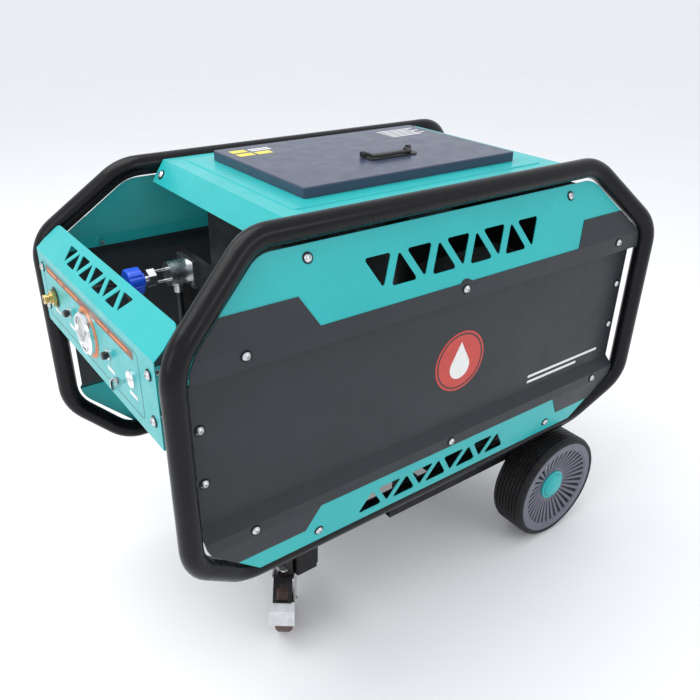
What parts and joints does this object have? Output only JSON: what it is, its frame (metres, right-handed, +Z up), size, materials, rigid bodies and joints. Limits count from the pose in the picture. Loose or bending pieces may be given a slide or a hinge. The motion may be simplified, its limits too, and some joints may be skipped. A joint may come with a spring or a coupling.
{
  "type": "pressure washer",
  "caption": "Wheeled petrol pressure washer in a bent-tube frame, with folded side panels, a hinged top lid and a front control panel.",
  "frame": {"origin": "on the ground, under the middle of the whole machine's box", "axes": "+X towards the rear, where the big wheels are; -X towards the control panel; -Y towards the side with the left panel; +Z up"},
  "size_m": [1.1396, 0.625, 0.909],
  "materials": {
    "tube_black": "gloss powder coat",
    "panel_grey": "semi-gloss powder coat",
    "sheet_teal": "gloss powder coat",
    "lid_grey": "gloss powder coat",
    "black_steel": "satin",
    "bright_steel": "zinc plated",
    "chrome": "polished",
    "black_plastic": "satin",
    "blue_plastic": "glossy",
    "dial_white": "printed with plain marks",
    "glass": "clear",
    "brass": "machined",
    "tyre": "matt",
    "rim_grey": "satin",
    "caster_tread": "matt",
    "engine_metal": "cast",
    "hose_rubber": "satin"
  },
  "bodies": {
    "chassis": {"left_side_loop": "tube_black", "right_side_loop": "tube_black", "left_side_panel": "panel_grey", "right_side_panel": "panel_grey", "left_upper_side_sheet": "sheet_teal", "right_upper_side_sheet": "sheet_teal", "left_lower_side_sheet": "sheet_teal", "right_lower_side_sheet": "sheet_teal", "top_cover": "sheet_teal", "lid_hinge_bases": "black_steel", "lid_hinge_pins": "bright_steel", "control_panel": "sheet_teal", "gauge_case": "chrome", "gauge_dial": "dial_white", "gauge_glass": "glass", "outlet_nipple": "brass", "key_switch": "chrome", "knob_collars": "bright_steel", "panel_screws": "bright_steel", "panel_washers": "black_steel", "axle": "bright_steel", "axle_nuts": "bright_steel", "front_frame": "black_steel", "rear_frame": "black_steel", "base_tray": "black_steel", "left_caster_plate": "bright_steel", "right_caster_plate": "bright_steel", "rear_cover": "black_steel", "front_bulkhead": "black_steel", "engine_block": "engine_metal", "engine_shroud": "black_steel", "muffler": "black_steel", "fuel_tank": "black_plastic", "pump_body": "engine_metal", "unloader_valve": "bright_steel", "pressure_hose": "hose_rubber"},
    "lid": {"lid": "lid_grey", "lid_hinge_leaves": "black_steel", "lid_handle_bracket": "black_plastic"},
    "lid_handle": {"lid_handle_bail": "black_plastic"},
    "gauge_needle": {"gauge_needle": "black_plastic"},
    "ignition_key": {"ignition_key": "chrome"},
    "choke_knob": {"choke_knob": "black_plastic"},
    "throttle_knob": {"throttle_knob": "black_plastic"},
    "pressure_knob": {"pressure_knob": "blue_plastic"},
    "fuel_cap": {"fuel_cap": "black_plastic"},
    "left_wheel": {"left_tyre": "tyre", "left_rim": "rim_grey", "left_hub_cap": "sheet_teal"},
    "left_caster": {"left_caster_fork": "bright_steel"},
    "left_caster_wheel": {"left_caster_wheel": "caster_tread"},
    "left_caster_lock": {"left_caster_lock_frame": "black_steel", "left_caster_pedal": "bright_steel"},
    "right_wheel": {"right_tyre": "tyre", "right_rim": "rim_grey", "right_hub_cap": "sheet_teal"},
    "right_caster": {"right_caster_fork": "bright_steel"},
    "right_caster_wheel": {"right_caster_wheel": "caster_tread"},
    "right_caster_lock": {"right_caster_lock_frame": "black_steel", "right_caster_pedal": "bright_steel"}
  },
  "joints": [
    {"name": "lid_hinge", "type": "hinge", "parent": "chassis", "child": "lid", "pos_m": [0.02175, 0.1619, 0.883], "axis": [-1, 0, 0], "range_deg": [0, 105]},
    {"name": "lid_handle_fold", "type": "hinge", "parent": "lid", "child": "lid_handle", "pos_m": [0.03575, -0.043, 0.9034], "axis": [-1, 0, 0], "range_deg": [0, 90]},
    {"name": "gauge_needle_turn", "type": "hinge", "parent": "chassis", "child": "gauge_needle", "pos_m": [-0.54175, 0.016, 0.662], "axis": [1, 0, 0], "range_deg": [0, 270], "stiffness_Nm_per_rad": 0.002},
    {"name": "ignition_key_turn", "type": "hinge", "parent": "chassis", "child": "ignition_key", "pos_m": [-0.53775, -0.171, 0.662], "axis": [1, 0, 0], "range_deg": [0, 90]},
    {"name": "choke_pull", "type": "slide", "parent": "chassis", "child": "choke_knob", "axis": [-1, 0, 0], "range_m": [0, 0.025]},
    {"name": "throttle_pull", "type": "slide", "parent": "chassis", "child": "throttle_knob", "axis": [-1, 0, 0], "range_m": [0, 0.025]},
    {"name": "pressure_adjust", "type": "hinge", "parent": "chassis", "child": "pressure_knob", "pos_m": [-0.40925, 0.105, 0.695], "axis": [1, 0, 0], "range_deg": [0, 350]},
    {"name": "fuel_cap_turn", "type": "hinge", "parent": "chassis", "child": "fuel_cap", "pos_m": [0.13375, 0.04, 0.7363], "axis": [0, 0, 1], "range_deg": [0, 120]},
    {"name": "left_wheel_roll", "type": "hinge", "parent": "chassis", "child": "left_wheel", "pos_m": [0.37875, -0.2695, 0.13], "axis": [0, 1, 0], "continuous": true},
    {"name": "left_caster_swivel", "type": "hinge", "parent": "chassis", "child": "left_caster", "pos_m": [-0.26625, -0.144, 0.15], "axis": [0, 0, 1], "continuous": true},
    {"name": "left_caster_roll", "type": "hinge", "parent": "left_caster", "child": "left_caster_wheel", "pos_m": [-0.28933, -0.17419, 0.0625], "axis": [0.7944, -0.6074, 0], "continuous": true},
    {"name": "left_caster_lock_lift", "type": "hinge", "parent": "left_caster", "child": "left_caster_lock", "pos_m": [-0.30391, -0.19325, 0.143], "axis": [-0.7944, 0.6074, 0], "range_deg": [0, 14]},
    {"name": "right_wheel_roll", "type": "hinge", "parent": "chassis", "child": "right_wheel", "pos_m": [0.37875, 0.2695, 0.13], "axis": [0, 1, 0], "continuous": true},
    {"name": "right_caster_swivel", "type": "hinge", "parent": "chassis", "child": "right_caster", "pos_m": [-0.26625, 0.144, 0.15], "axis": [0, 0, 1], "continuous": true},
    {"name": "right_caster_roll", "type": "hinge", "parent": "right_caster", "child": "right_caster_wheel", "pos_m": [-0.28933, 0.11381, 0.0625], "axis": [0.7944, -0.6074, 0], "continuous": true},
    {"name": "right_caster_lock_lift", "type": "hinge", "parent": "right_caster", "child": "right_caster_lock", "pos_m": [-0.30391, 0.09475, 0.143], "axis": [-0.7944, 0.6074, 0], "range_deg": [0, 14]}
  ]
}
